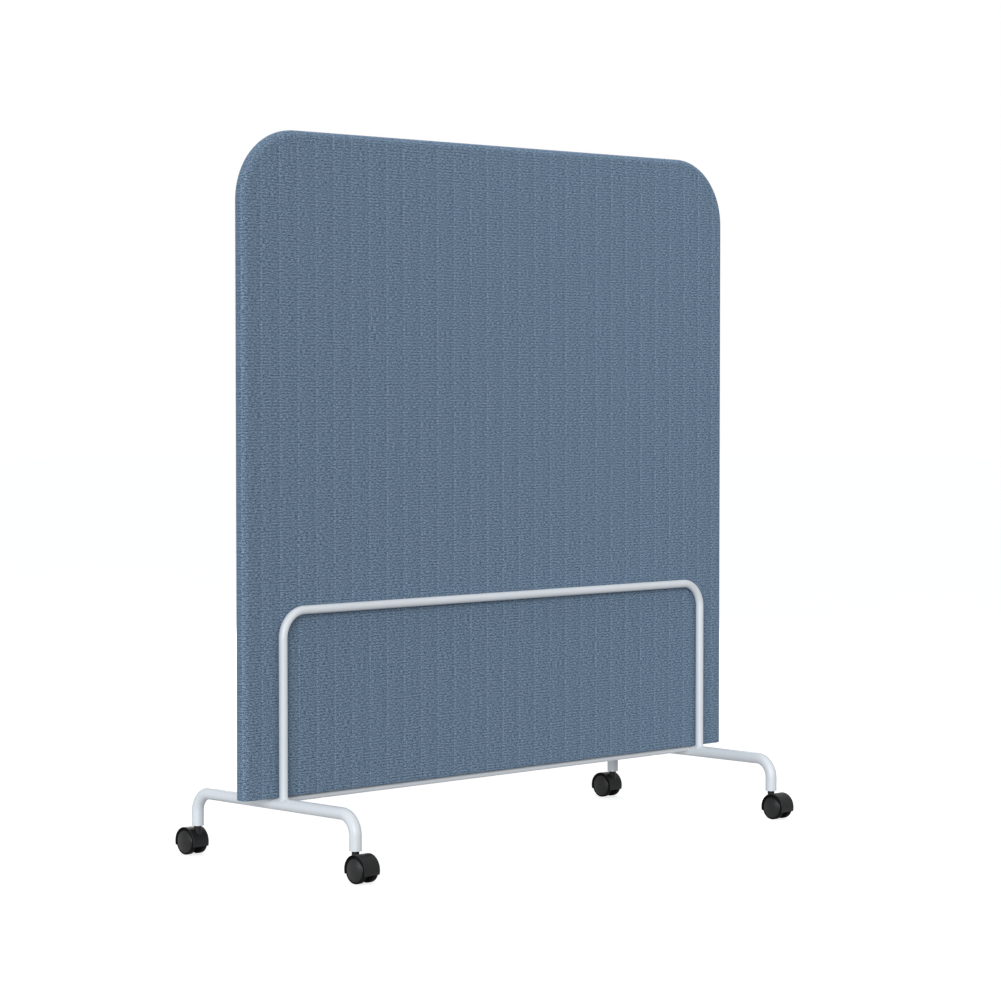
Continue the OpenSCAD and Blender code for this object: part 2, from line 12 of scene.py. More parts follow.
import bmesh
import bpy
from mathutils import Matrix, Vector


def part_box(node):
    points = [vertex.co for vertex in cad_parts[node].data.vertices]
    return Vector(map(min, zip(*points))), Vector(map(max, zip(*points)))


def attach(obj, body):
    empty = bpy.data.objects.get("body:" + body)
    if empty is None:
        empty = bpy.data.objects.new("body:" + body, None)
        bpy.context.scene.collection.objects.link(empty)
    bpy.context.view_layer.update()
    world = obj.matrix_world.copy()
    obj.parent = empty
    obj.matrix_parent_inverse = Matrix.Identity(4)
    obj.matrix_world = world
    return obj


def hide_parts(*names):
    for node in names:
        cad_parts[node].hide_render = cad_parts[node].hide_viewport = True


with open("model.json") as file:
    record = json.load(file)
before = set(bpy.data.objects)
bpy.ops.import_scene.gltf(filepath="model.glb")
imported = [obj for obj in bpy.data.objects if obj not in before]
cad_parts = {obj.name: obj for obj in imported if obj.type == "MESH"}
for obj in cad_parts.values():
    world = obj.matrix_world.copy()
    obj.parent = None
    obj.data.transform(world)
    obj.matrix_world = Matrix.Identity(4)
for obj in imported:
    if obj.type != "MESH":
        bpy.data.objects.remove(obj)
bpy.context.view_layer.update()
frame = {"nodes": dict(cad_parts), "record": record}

# %% [markdown]
# ## Where the viewer stands
# The photograph is a three-quarter view from the front left, taken from just
# above the middle of the board with a long lens. The camera could be placed by
# eye, but a perspective fit of the board's and the tubes' outlines gives it much
# more closely. It is typed in here as a place and two angles, which is easier to
# read and to check than a matrix.

# %% Camera
VIEW_PLACE = (-5.154, -5.218, 1.096)
VIEW_AZIMUTH = math.radians(-44.7296)
VIEW_DOWN = math.radians(2.2206)
SENSOR_MM, LENS_MM = 36, 109.47


def put_in_scene(thing):
    """A new object shows only once the scene's collection holds it."""
    bpy.context.scene.collection.objects.link(thing)
    return thing


lens_data = bpy.data.cameras.new("photo_camera")
lens_data.sensor_width = SENSOR_MM
lens_data.lens = LENS_MM
camera = put_in_scene(bpy.data.objects.new("photo_camera", lens_data))
camera.location = VIEW_PLACE
backwards = Vector((math.sin(VIEW_AZIMUTH) * math.cos(VIEW_DOWN),
                    -math.cos(VIEW_AZIMUTH) * math.cos(VIEW_DOWN), math.sin(VIEW_DOWN)))
camera.rotation_mode = "QUATERNION"
camera.rotation_quaternion = (-backwards).to_track_quat("-Z", "Y")
bpy.context.scene.camera = camera
bpy.context.scene.view_settings.view_transform = "Standard"
print("camera looks along", [round(-v, 3) for v in backwards])

# %% [markdown]
# ## A small kit for building finishes
# Every finish below is a graph of shader nodes. Writing each node and link by
# hand makes long cells, so a tiny helper adds a node, sets its properties and
# feeds its inputs, whether an input is a number or another node's output.

# %% Node helpers
def start_finish(name):
    """A new material with a shader, and the node tree to build in.

    The frame brings a plain material under the same name, which steps aside.
    """
    if name in bpy.data.materials:
        bpy.data.materials[name].name = name + "_plain"
    finish = bpy.data.materials.new(name)
    finish.use_nodes = True
    return finish, finish.node_tree, finish.node_tree.nodes["Principled BSDF"]


def add(tree, kind, feeds=(), **settings):
    """Adds a node; feeds maps an input's name or number to a value or an output."""
    node = tree.nodes.new("ShaderNode" + kind)
    for key, value in settings.items():
        setattr(node, key, value)
    for key, value in dict(feeds).items():
        if isinstance(value, bpy.types.NodeSocket):
            tree.links.new(value, node.inputs[key])
        else:
            node.inputs[key].default_value = value
    return node


def calc(tree, operation, a, b=0.0, c=0.0):
    """One sum on numbers, as an output to feed onwards."""
    return add(tree, "Math", {0: a, 1: b, 2: c}, operation=operation).outputs[0]


def ramp(tree, value, stops):
    """Turns a value into a colour along the given stops."""
    node = add(tree, "ValToRGB", {0: value})
    line = node.color_ramp.elements
    while len(line) < len(stops):
        line.new(0.5)
    for mark, (place, colour) in zip(line, stops):
        mark.position = place
        mark.color = (*colour, 1)
    return node.outputs["Color"]


print("node helpers ready")

# %% [markdown]
# ## Grain, the maker of most surfaces
# Real surfaces are uneven in colour, in gloss and in height. One noise node can
# drive all three. Its values mostly lie between 0.3 and 0.7, so two helpers
# spread that range over two colours, or over two numbers such as roughnesses.

# %% Grain helpers
GRAIN_LOW, GRAIN_HIGH = 0.3, 0.7


def grain(tree, place, scale, detail=2.0, roughness=0.5, stretch=None):
    """Soft random grain; stretch scales the place first, for drawn-out grain."""
    if stretch:
        place = add(tree, "VectorMath", {0: place, 1: stretch}, operation="MULTIPLY").outputs[0]
    feeds = {"Vector": place, "Scale": scale, "Detail": detail, "Roughness": roughness}
    return add(tree, "TexNoise", feeds).outputs["Fac"]


def two_tones(tree, pattern, dark, pale):
    """Spreads a grain over two colours."""
    return ramp(tree, pattern, [(GRAIN_LOW, dark), (GRAIN_HIGH, pale)])


def spread(tree, pattern, low, high):
    """Spreads a grain over two numbers."""
    feeds = {0: pattern, 1: GRAIN_LOW, 2: GRAIN_HIGH, 3: low, 4: high}
    return add(tree, "MapRange", feeds).outputs[0]


def press_in(tree, height, depth, strength, shader):
    """Turns a height pattern of the given depth in metres into a bump."""
    bump = add(tree, "Bump", {"Height": height, "Distance": depth, "Strength": strength})
    tree.links.new(bump.outputs[0], shader.inputs["Normal"])


print("grain runs from", GRAIN_LOW, "to", GRAIN_HIGH)

# %% [markdown]
# ## The board's cover
# On the real board the cloth is pulled tight over foam: flat faces that fall away
# a little near the sides, a soft 17 mm rounding along the sides and the top, and
# a square fold underneath. It could be simulated, but a taut cover on a flat
# board hardly moves, so it is lofted: the same outline is laid again and again,
# each time a little further round the rounding, and the rings are joined.

# %% Sizes of the board, read from the frame
MM = 1000
CORNER_R = 0.162
EDGE_R = 0.017
face_lo, back_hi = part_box("front_cover")[0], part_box("rear_cover")[1]
half_width = back_hi.x
half_thick = back_hi.y
foot, top = face_lo.z, back_hi.z
level_band = half_thick - EDGE_R
board_size = (2 * half_width, top - foot, 2 * half_thick)
print("board", [round(MM * size) for size in board_size], "mm")

# %% [markdown]
# ## The outline's columns
# A flat face could be a single polygon, but then nothing could swell in its
# middle. So the faces are woven from upright columns and level rows of quads,
# which follow the threads. Round each upper corner the columns stand at even
# angles, and their heads lie on the corner's arc.

# %% Columns across a face
COLUMN_GAP = 0.03
CORNER_STEPS = 24
corner_x = half_width - CORNER_R
corner_z = top - CORNER_R
face_r = CORNER_R - EDGE_R


def face_columns():
    """x and height of the head of each column, and the way out at its head."""
    heads = []
    for step in range(CORNER_STEPS):
        turn = math.radians(90 * step / CORNER_STEPS)
        x = corner_x + face_r * math.cos(turn)
        z = corner_z + face_r * math.sin(turn)
        heads.append((-x, z, Vector((-math.cos(turn), math.sin(turn)))))
    mirrored = [(-x, z, Vector((-out.x, out.y))) for x, z, out in reversed(heads)]
    between = round(2 * corner_x / COLUMN_GAP)
    for step in range(between + 1):
        x = -corner_x + 2 * corner_x * step / between
        heads.append((x, top - EDGE_R, Vector((0, 1))))
    return heads + mirrored


columns = face_columns()
print(len(columns), "columns")

# %% [markdown]
# ## The rows, and how the padding swells
# Rows crowd together near the top and the bottom, where the cloth turns. The
# foam swells the cloth by half a millimetre from the sides inwards and by twice
# as much from the top. A subdivision surface would round the whole face, while
# a formula leaves it flat at full thickness where the hoops' buffers press on it.

# %% Rows up a face, and the swell
FOLD_R = 0.0025
SWELL_SIDE, SWELL_TOP = 0.0006, 0.0012
SWELL_REACH = 0.075
LOW_MARKS, HIGH_MARKS = [0, 0.004, 0.012, 0.03], [0.965, 0.982, 0.992, 0.998, 1]
EVEN_START, EVEN_REACH, EVEN_ROWS = 0.06, 0.88, 40
even_marks = [EVEN_START + EVEN_REACH * k / EVEN_ROWS for k in range(EVEN_ROWS + 1)]
row_marks = LOW_MARKS + even_marks + HIGH_MARKS


def ease(t):
    """A soft step from 0 to 1, level at both ends."""
    t = min(max(t, 0.0), 1.0)
    return t * t * (3 - 2 * t)


def swell(x, z):
    """How far the face falls back from its full thickness at a place."""
    side = half_width - EDGE_R - abs(x)
    head = top - EDGE_R - z
    if abs(x) > corner_x and z > corner_z:
        rim = face_r - math.hypot(abs(x) - corner_x, z - corner_z)
        side, head = rim, rim
    near_side = (1 - ease(side / SWELL_REACH)) * SWELL_SIDE
    near_top = (1 - ease(head / SWELL_REACH)) * SWELL_TOP
    return max(near_side, near_top)


print(len(row_marks), "rows")

# %% [markdown]
# ## The way round the edge
# From the front face the cloth turns a quarter circle, crosses a level band with
# a fine sewn seam in its middle, and turns down again at the back. A bevel would
# give the rounding but not the seam, so the whole way is listed: how far each
# ring lies in from the outer edge, how far in front of the middle, and how much
# cloth has been used, which lays out the weave.

# %% Profile of the edge
EDGE_STEPS = 12
SEAM_GROOVE = ((0.0012, 0.0), (0.0006, 0.00012), (0.0, 0.0005))  # ahead of the seam, depth


def edge_profile():
    """Inset, place ahead of the middle and cloth used, for each ring in turn."""
    rings = []
    for step in range(1, EDGE_STEPS + 1):
        turn = math.radians(90 * step / EDGE_STEPS)
        inset = EDGE_R * (1 - math.sin(turn))
        rings.append((inset, level_band + EDGE_R * math.cos(turn), EDGE_R * turn))
    used = rings[-1][2]
    for ahead, depth in SEAM_GROOVE:
        rings.append((depth, ahead, used + level_band - ahead))
    back = [(inset, -ahead, used) for inset, ahead, used in reversed(rings[:-1])]
    return rings + back


profile = edge_profile()
print(len(profile), "rings round the edge")

# %% [markdown]
# ## Sewing the cover together
# One mesh holds it all: two faces, the band between them, the fold underneath
# and the recess that takes the closing strip. The weave could be laid from the
# object's own place, but it would smear round the edge. A UV map in metres of
# cloth keeps it at its true size everywhere.

# %% Cover mesh and its cloth map
mesh = bmesh.new()
cloth_uv = mesh.loops.layers.uv.new("cloth")
cloth_place = {}


def cloth_point(x, y, z, u, v):
    """A point of the cover, which remembers its place on the flat cloth."""
    point = mesh.verts.new((x, y, z))
    cloth_place[point] = (u, v)
    return point


def cloth_patch(*corners):
    """A smooth face whose UVs are its corners' places on the flat cloth."""
    patch = mesh.faces.new(corners)
    patch.smooth = True
    for loop in patch.loops:
        loop[cloth_uv].uv = cloth_place[loop.vert]


print("map of the cloth:", cloth_uv.name)

# %% The two faces
FRONT, BACK = -1, 1


def weave_face(side):
    """The points of one face, as a list of columns."""
    low = foot + FOLD_R
    grid = []
    for x, head, _ in columns:
        heights = [low + (head - low) * mark for mark in row_marks]
        grid.append([cloth_point(x, side * (half_thick - swell(x, z)), z, x, z)
                     for z in heights])
    for left, right in zip(grid, grid[1:]):
        for k in range(len(row_marks) - 1):
            corners = (left[k], right[k], right[k + 1], left[k + 1])
            cloth_patch(*(corners if side == FRONT else corners[::-1]))
    return grid


grids = {side: weave_face(side) for side in (FRONT, BACK)}
print(len(mesh.verts), "points in the two faces")

# %% [markdown]
# ## The band round the edge
# The rim of a face runs up the left column, along the heads and down the right
# column. Each rim point sends a rib of cloth from the front round to the back.
# The fall of the face at the rim fades along the rib, so the band stays level.

# %% Rim and ribs
def rim_of(side):
    """The rim's points with the way out from each, from bottom left to bottom right."""
    grid = grids[side]
    left = [(p, Vector((-1, 0))) for p in grid[0][:-1]]
    heads = [(stack[-1], out) for stack, (_, _, out) in zip(grid, columns)]
    right = [(p, Vector((1, 0))) for p in reversed(grid[-1][:-1])]
    return left + heads + right


ribs = []
for (front, out), (back, _) in zip(rim_of(FRONT), rim_of(BACK)):
    rib = [front]
    sunk = half_thick + front.co.y
    for inset, ahead, used in profile:
        reach = EDGE_R - inset
        y = -ahead + math.copysign(sunk, ahead) * (1 - reach / EDGE_R) if ahead else 0.0
        rib.append(cloth_point(front.co.x + out.x * reach, y, front.co.z + out.y * reach,
                               front.co.x + out.x * used, front.co.z + out.y * used))
    ribs.append(rib + [back])
for one, two in zip(ribs, ribs[1:]):
    for k in range(len(one) - 1):
        cloth_patch(one[k], two[k], two[k + 1], one[k + 1])
print(len(ribs), "ribs of", len(ribs[0]), "points")

# %% [markdown]
# ## The fold underneath
# Under the board the cloth folds sharply over the bottom timber, and its cut
# edges meet in a shallow recess that a strip closes. The lowest ring of cloth is
# stepped inwards round a 2.5 mm fold, then drawn in to the lip of the recess.

# %% Lowest ring of cloth
core_x = half_width - EDGE_R
face_points = len(columns)
end_points = len(ribs[0]) - 2
rim_ring = [stack[0] for stack in grids[FRONT]] + ribs[-1][1:-1]
rim_ring += [stack[0] for stack in reversed(grids[BACK])] + ribs[0][1:-1][::-1]


def way_out(point):
    """The level direction in which the board's edge faces at a place."""
    x = min(max(point.x, -core_x), core_x)
    y = min(max(point.y, -level_band), level_band)
    return Vector((point.x - x, point.y - y)).normalized()


def next_ring(ring, place):
    """Joins a ring of cloth to a new one, placed point by point."""
    fresh = []
    for k, point in enumerate(ring):
        x, y, z, used = place(k, point.co)
        u, v = cloth_place[point]
        fresh.append(cloth_point(x, y, z, u, v - used))
    for k in range(len(ring)):
        n = (k + 1) % len(ring)
        cloth_patch(ring[k], fresh[k], fresh[n], ring[n])
    return fresh


outward = [way_out(point.co) for point in rim_ring]
start = [point.co.copy() for point in rim_ring]
print(len(rim_ring), "points in the lowest ring")

# %% Fold
FOLD_STEPS = 4
fold_step = 90 / FOLD_STEPS


def on_fold(k, turn):
    """Where a point of the lowest ring comes to lie after a turn round the fold."""
    back_in = FOLD_R * (1 - math.cos(turn))
    down = FOLD_R * (1 - math.sin(turn))
    return (start[k].x - outward[k].x * back_in, start[k].y - outward[k].y * back_in,
            foot + down, FOLD_R * math.radians(fold_step))


ring = rim_ring
for step in range(1, FOLD_STEPS + 1):
    ring = next_ring(ring, lambda k, _: on_fold(k, math.radians(fold_step * step)))
print("fold of", FOLD_STEPS, "steps,", MM * FOLD_R, "mm")

# %% Lip and recess
RECESS_X, RECESS_Y, RECESS_DEPTH = 0.770, 0.008, 0.001
back_from = face_points + end_points
left_from = back_from + face_points


def at_lip(k, point):
    """Where a point of the fold meets the lip of the recess."""
    on_face = k < face_points or back_from <= k < left_from
    x = min(max(start[k].x, -core_x), core_x) * RECESS_X / core_x
    y = math.copysign(RECESS_Y, start[k].y) if on_face else start[k].y * RECESS_Y / half_thick
    return x, y, foot, (Vector((x, y)) - point.xy).length


ring = next_ring(ring, at_lip)
ring = next_ring(ring, lambda k, point: (point.x, point.y, foot + RECESS_DEPTH, RECESS_DEPTH))
near, right_end = ring[:face_points], ring[face_points:back_from]
far, left_end = ring[back_from:left_from][::-1], ring[left_from:]
for k in range(face_points - 1):  # the first and last patch also take an end's points
    extra_right = right_end if k == face_points - 2 else []
    extra_left = left_end if k == 0 else []
    cloth_patch(near[k], *extra_left[::-1], far[k], far[k + 1], *extra_right[::-1], near[k + 1])
print(len(mesh.faces), "patches of cloth")

# %% [markdown]
# ## From mesh to piece
# A finished mesh becomes an object that rides on a body of the frame, so it
# moves with it. The cover also stands for the CAD's two half covers, the foam
# and the cores, which touch each other inside it. A closed cover has no open
# edge, which is counted first.

# %% Cover object
def finish_piece(source, name, body, slot, *stands_for):
    """Turns a bmesh into a piece that rides on a body and stands for CAD nodes."""
    data = bpy.data.meshes.new(name)
    source.to_mesh(data)
    source.free()
    piece = put_in_scene(bpy.data.objects.new(name, data))
    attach(piece, body)
    if stands_for:
        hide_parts(*stands_for)
    return piece


open_edges = sum(1 for edge in mesh.edges if len(edge.link_faces) != 2)
cover_volume = mesh.calc_volume(signed=True)
panel_cover = finish_piece(mesh, "panel_cover", "frame_and_panel", "panel_fabric",
                           "front_cover", "rear_cover", "front_foam", "rear_foam",
                           "left_core", "right_core")
print("open edges", open_edges, "volume", round(cover_volume, 5), "m3")

# %% [markdown]
# ## The closing strip
# Upholsterers hide the cut edges of the cloth under a strip of felt. It is a flat
# ribbon with holes for the rail's screws. It could be one long box, but the
# holes and the slightly uneven cut edges show when the screen lies on its side,
# so it is laid out as a row of cells, some plain and some with a hole.

# %% Cells of the strip
CELL, HOLE_R, HOLE_POINTS = 0.010, 0.0028, 24
PLAIN_GAP = 0.014
MIDDLE_ROWS = (-0.004, 0.004)
WANDER, PULLED_IN = 0.00012, 0.00025
LONG_WAVE, SHORT_WAVE = 87, 210
strip_lo, strip_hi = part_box("bottom_strip")
felt = bmesh.new()


def cut_edge(x):
    """The felt's cut edge wanders by a fraction of a millimetre."""
    return WANDER * (math.sin(x * SHORT_WAVE) + math.sin(x * LONG_WAVE + 1)) - PULLED_IN


def plain_stretch(x0, x1):
    """Cells of plain felt between two places along the strip."""
    steps = max(1, round((x1 - x0) / PLAIN_GAP))
    rows = []
    for k in range(steps + 1):
        x = x0 + (x1 - x0) * k / steps
        wide = strip_hi.y + cut_edge(x)
        rows.append([felt.verts.new((x, y, strip_lo.z)) for y in (-wide, *MIDDLE_ROWS, wide)])
    for one, two in zip(rows, rows[1:]):
        for k in range(3):
            felt.faces.new((one[k], one[k + 1], two[k + 1], two[k]))


def holed_cell(x):
    """A square of felt with a round hole, its corners met by the ring of points."""
    wide = strip_hi.y + cut_edge(x - CELL)
    inner, outer = [], []
    for k in range(HOLE_POINTS):
        turn = 2 * math.pi * (k + 0.5) / HOLE_POINTS
        c, s = math.cos(turn), math.sin(turn)
        inner.append(felt.verts.new((x + HOLE_R * c, HOLE_R * s, strip_lo.z)))
        to_side = 1 / max(abs(c) / CELL, abs(s) / wide)
        outer.append(felt.verts.new((x + to_side * c, to_side * s, strip_lo.z)))
    for k in range(HOLE_POINTS):
        n = (k + 1) % HOLE_POINTS
        felt.faces.new((inner[k], inner[n], outer[n], outer[k]))


print("strip from", round(strip_lo.x, 3), "to", round(strip_hi.x, 3))

# %% Laying out the strip
SCREW_SPAN, SCREW_COUNT = 1.120, 5
screw_places = [SCREW_SPAN * (k / (SCREW_COUNT - 1) - 0.5) for k in range(SCREW_COUNT)]
edge_x = strip_lo.x
for screw_x in screw_places:
    plain_stretch(edge_x, screw_x - CELL)
    holed_cell(screw_x)
    edge_x = screw_x + CELL
plain_stretch(edge_x, strip_hi.x)
strip_cut = sum(face.calc_area() for face in felt.faces)
CM2 = MM * MM / 100  # square centimetres in a square metre
print("felt", round(strip_cut * CM2, 1), "cm2 with", len(screw_places), "holes")

# %% Thickness of the felt
FELT_T = 0.0008
flat_felt = list(felt.faces)
bmesh.ops.recalc_face_normals(felt, faces=flat_felt)
raised = bmesh.ops.extrude_face_region(felt, geom=flat_felt)["geom"]
raised_points = [part for part in raised if isinstance(part, bmesh.types.BMVert)]
bmesh.ops.translate(felt, vec=(0, 0, FELT_T), verts=raised_points)
bmesh.ops.recalc_face_normals(felt, faces=felt.faces)
closing_strip = finish_piece(felt, "closing_strip", "frame_and_panel", "closing_felt",
                             "bottom_strip")
print("strip", [round(v, 4) for v in closing_strip.dimensions])

# %% [markdown]
# ## Staples
# The strip is held by two rows of wire staples, each a little bridge of flattened
# wire whose legs go up into the timber. A curve with a bevel would make round
# wire, so they are swept along a listed, bent path. They keep clear of the
# screws, and none lies quite straight.

# %% One staple
WIRE_W, WIRE_T, CROWN, BEND = 0.0010, 0.0006, 0.0095, 0.0005
BELOW_FELT, INTO_FELT = 0.0003, 0.0007
staples = bmesh.new()


def staple(x, y, lean):
    """A flat wire bridge along the strip; lean turns it a few degrees."""
    low, high = strip_lo.z - BELOW_FELT, strip_lo.z + INTO_FELT
    path = [(-CROWN / 2, high), (-CROWN / 2, low + BEND), (-CROWN / 2 + BEND, low),
            (CROWN / 2 - BEND, low), (CROWN / 2, low + BEND), (CROWN / 2, high)]
    inward = [(WIRE_T, 0), (WIRE_T, 0), (WIRE_T * 0.5, WIRE_T), (-WIRE_T * 0.5, WIRE_T),
              (-WIRE_T, 0), (-WIRE_T, 0)]
    c, s = math.cos(lean), math.sin(lean)
    rings = []
    for (along, z), (dx, dz) in zip(path, inward):
        ring = []
        for across, depth in ((-0.5, 0), (0.5, 0), (0.5, 1), (-0.5, 1)):
            px, py = along + dx * depth, across * WIRE_W
            ring.append(staples.verts.new((x + px * c - py * s, y + px * s + py * c,
                                           z + dz * depth)))
        rings.append(ring)
    for one, two in zip(rings, rings[1:]):
        for k in range(4):
            n = (k + 1) % 4
            staples.faces.new((one[k], one[n], two[n], two[k]))
    staples.faces.new(rings[0])
    staples.faces.new(rings[-1])


print("staple", MM * CROWN, "mm wide")

# %% Staples along the strip
STAPLE_ROW, STAPLE_GAP = 0.0055, 0.045
FIRST_IN, LAST_IN, SCREW_ROOM = 0.012, 0.008, 0.012
LEAN, LEAN_WAVE = math.radians(4), 91
SOFTENED = 0.00012
placed = 0
for row, y in enumerate((-STAPLE_ROW, STAPLE_ROW)):
    x = strip_lo.x + FIRST_IN + row * STAPLE_GAP / 2
    while x < strip_hi.x - LAST_IN:
        if min(abs(x - s) for s in screw_places) > SCREW_ROOM:
            staple(x, y, LEAN * math.sin(x * LEAN_WAVE + row))
            placed += 1
        x += STAPLE_GAP
bmesh.ops.bevel(staples, geom=list(staples.edges), offset=SOFTENED, segments=1, affect="EDGES")
bmesh.ops.recalc_face_normals(staples, faces=staples.faces)
strip_staples = finish_piece(staples, "strip_staples", "frame_and_panel", "zinc_steel")
print(placed, "staples")

# %% [markdown]
# ## The cloth: its threads
# Seen close, the cloth is a plain weave of thick and thin slubby yarn. A picture
# of cloth would be the quick way, but it has one size and one light baked in, so
# the weave is calculated. All of it is read from the cloth's own map in metres,
# so each thread has its true size. A checker says which thread lies on top.

# %% Threads of the cloth
THREAD = 0.00114
cloth, tree, shader = start_finish("panel_fabric")
on_cloth = add(tree, "UVMap", uv_map="cloth").outputs[0]
parts = add(tree, "SeparateXYZ", {0: on_cloth})
u, v = parts.outputs[0], parts.outputs[1]


def thread_ridge(across):
    """The round back of each thread, from 0 at its sides to 1 on its crown."""
    wave = calc(tree, "SINE", calc(tree, "MULTIPLY", across, math.pi / THREAD))
    return calc(tree, "ABSOLUTE", wave)


checks = {"Vector": on_cloth, "Scale": 1 / THREAD, "Color1": (1, 1, 1, 1), "Color2": (0, 0, 0, 1)}
on_top = add(tree, "TexChecker", checks).outputs["Fac"]
weave = add(tree, "Mix", {0: on_top, 2: thread_ridge(u), 3: thread_ridge(v)}).outputs[0]
print("threads", MM * THREAD, "mm")

# %% [markdown]
# ## The cloth: its yarn
# The photograph shows short level dashes, darker and paler, broken by the upright
# threads. They come from three grains: long runs along each pick of six threads,
# slubs that are four times as long as they are high, and a fine fuzz.

# %% Yarn of the cloth
PICK_GAP = 6 * THREAD
RUNS, SLUBS, FUZZ = (48.0, 7.3, 1.0), (120.0, 480.0, 1.0), (430.0, 600.0, 1.0)
RUN_LEVEL = 0.38
DASH_SHARE, SLUB_SHARE, FUZZ_SHARE = 0.18, 0.40, 0.60
pick_place = calc(tree, "MULTIPLY", v, 1 / PICK_GAP)
pick = calc(tree, "FLOOR", pick_place)
pick_wave = calc(tree, "COSINE", calc(tree, "MULTIPLY", pick_place, 2 * math.pi))
along_pick = add(tree, "CombineXYZ", {0: u, 1: pick}).outputs[0]
runs = grain(tree, along_pick, 1.0, detail=1.5, roughness=0.6, stretch=RUNS)
dashes = calc(tree, "MULTIPLY", pick_wave, calc(tree, "SUBTRACT", runs, RUN_LEVEL))
slubs = grain(tree, on_cloth, 1.0, detail=1.0, stretch=SLUBS)
fuzz = grain(tree, on_cloth, 1.0, detail=1.0, stretch=FUZZ)
tone = calc(tree, "MULTIPLY_ADD", fuzz, FUZZ_SHARE, calc(tree, "MULTIPLY", slubs, SLUB_SHARE))
tone = calc(tree, "MULTIPLY_ADD", dashes, DASH_SHARE, tone)
yarn_tone = ramp(tree, tone, [(0.38, (0.020, 0.043, 0.081)), (0.5, (0.115, 0.172, 0.243)),
                              (0.62, (0.270, 0.355, 0.455))])
print("picks", round(MM * PICK_GAP, 2), "mm")

# %% [markdown]
# ## The cloth: its bars and its sheen
# Faint pale bars stand upright in the cloth every 54 mm, where the warp was drawn
# in, and from each to the next the tone falls slowly. A ramp over the place
# between two bars gives both. The cloth's short fibres catch light at a slant,
# which the shader's sheen does, and the bump lifts the threads and thick yarn.

# %% Bars and sheen of the cloth
BAR_GAP, BAR_START = 0.0542, 0.0059
BAR_TONES = ((0.0, 0.640), (0.03, 0.550), (0.06, 0.515), (0.35, 0.500),
             (0.68, 0.487), (0.94, 0.464), (0.975, 0.560), (1.0, 0.640))
WHOLE_BARS = 20  # keeps the count of bars above zero on the left of the middle
YARN_LIFT, WEAVE_DEPTH = 0.8, 0.00025


def grey(level):
    """A colour without a hue."""
    return (level, level, level)


bar_count = calc(tree, "MULTIPLY_ADD", u, 1 / BAR_GAP, WHOLE_BARS - BAR_START / BAR_GAP)
bar_place = calc(tree, "FRACT", bar_count)
bars = ramp(tree, bar_place, [(place, grey(level)) for place, level in BAR_TONES])
half_to_one = {0: bars, "Scale": 2.0}  # a bar tone of 0.5 leaves the yarn's colour as it is
doubled = add(tree, "VectorMath", half_to_one, operation="SCALE").outputs[0]
coloured = add(tree, "Mix", {0: 1.0, 6: yarn_tone, 7: doubled},
               data_type="RGBA", blend_type="MULTIPLY")
tree.links.new(coloured.outputs[2], shader.inputs["Base Color"])
shader.inputs["Roughness"].default_value = 0.92
shader.inputs["Specular IOR Level"].default_value = 0.2
shader.inputs["Sheen Weight"].default_value = 0.30
shader.inputs["Sheen Tint"].default_value = (0.45, 0.70, 1.0, 1)
shader.inputs["Sheen Roughness"].default_value = 0.5
thread_height = calc(tree, "MULTIPLY_ADD", tone, YARN_LIFT, weave)
press_in(tree, thread_height, WEAVE_DEPTH, strength=0.7, shader=shader)
panel_cover.data.materials.append(cloth)
print("bars every", round(MM * BAR_GAP, 1), "mm")

# %% [markdown]
# ## Powder coat on the tubes
# The tubes are sprayed with a pale, cool grey powder that melts into a satin
# skin with a fine orange peel. A plain colour would look like plastic, so the
# skin gets its peel as a tiny bump, a slow drift in colour, and duller patches
# where hands and dust have been.

# %% Powder coat finish
DRIFT, TOUCHED, PEEL = 7.0, 22.0, 620.0
PEEL_DEPTH = 0.00008
SMOOTHEST, DULLEST = 0.34, 0.46
coat, tree, shader = start_finish("frame_paint")
place = add(tree, "TexCoord").outputs["Object"]
drift = grain(tree, place, DRIFT, detail=3.0)
coat_colour = two_tones(tree, drift, (0.628, 0.658, 0.690), (0.656, 0.687, 0.719))
tree.links.new(coat_colour, shader.inputs["Base Color"])
touched = grain(tree, place, TOUCHED, detail=4.0, roughness=0.6)
tree.links.new(spread(tree, touched, SMOOTHEST, DULLEST), shader.inputs["Roughness"])
peel = grain(tree, place, PEEL, roughness=0.45)
press_in(tree, peel, PEEL_DEPTH, strength=0.25, shader=shader)
print("powder coat with a peel of", MM * PEEL_DEPTH, "mm")

# %% [markdown]
# ## Black nylon on the castors
# The hoods, wheels and discs are moulded nylon. Each part comes from its own
# mould: the hoods are fine-sparked and satin, the wheels are duller and scuffed
# by the floor, and the discs are the glossiest. Each could have a graph of its
# own, but they differ in numbers only, so one maker function gives all of them,
# with the colour, the gloss, the sparks' size and the amount of dust as choices.

# %% Moulded nylon
GREY_DUST = (0.12, 0.115, 0.11)
DUST_FROM = 0.2
DUST_GRAIN, HANDLED_GRAIN = 160.0, 60.0
DULLED_BY = 0.12


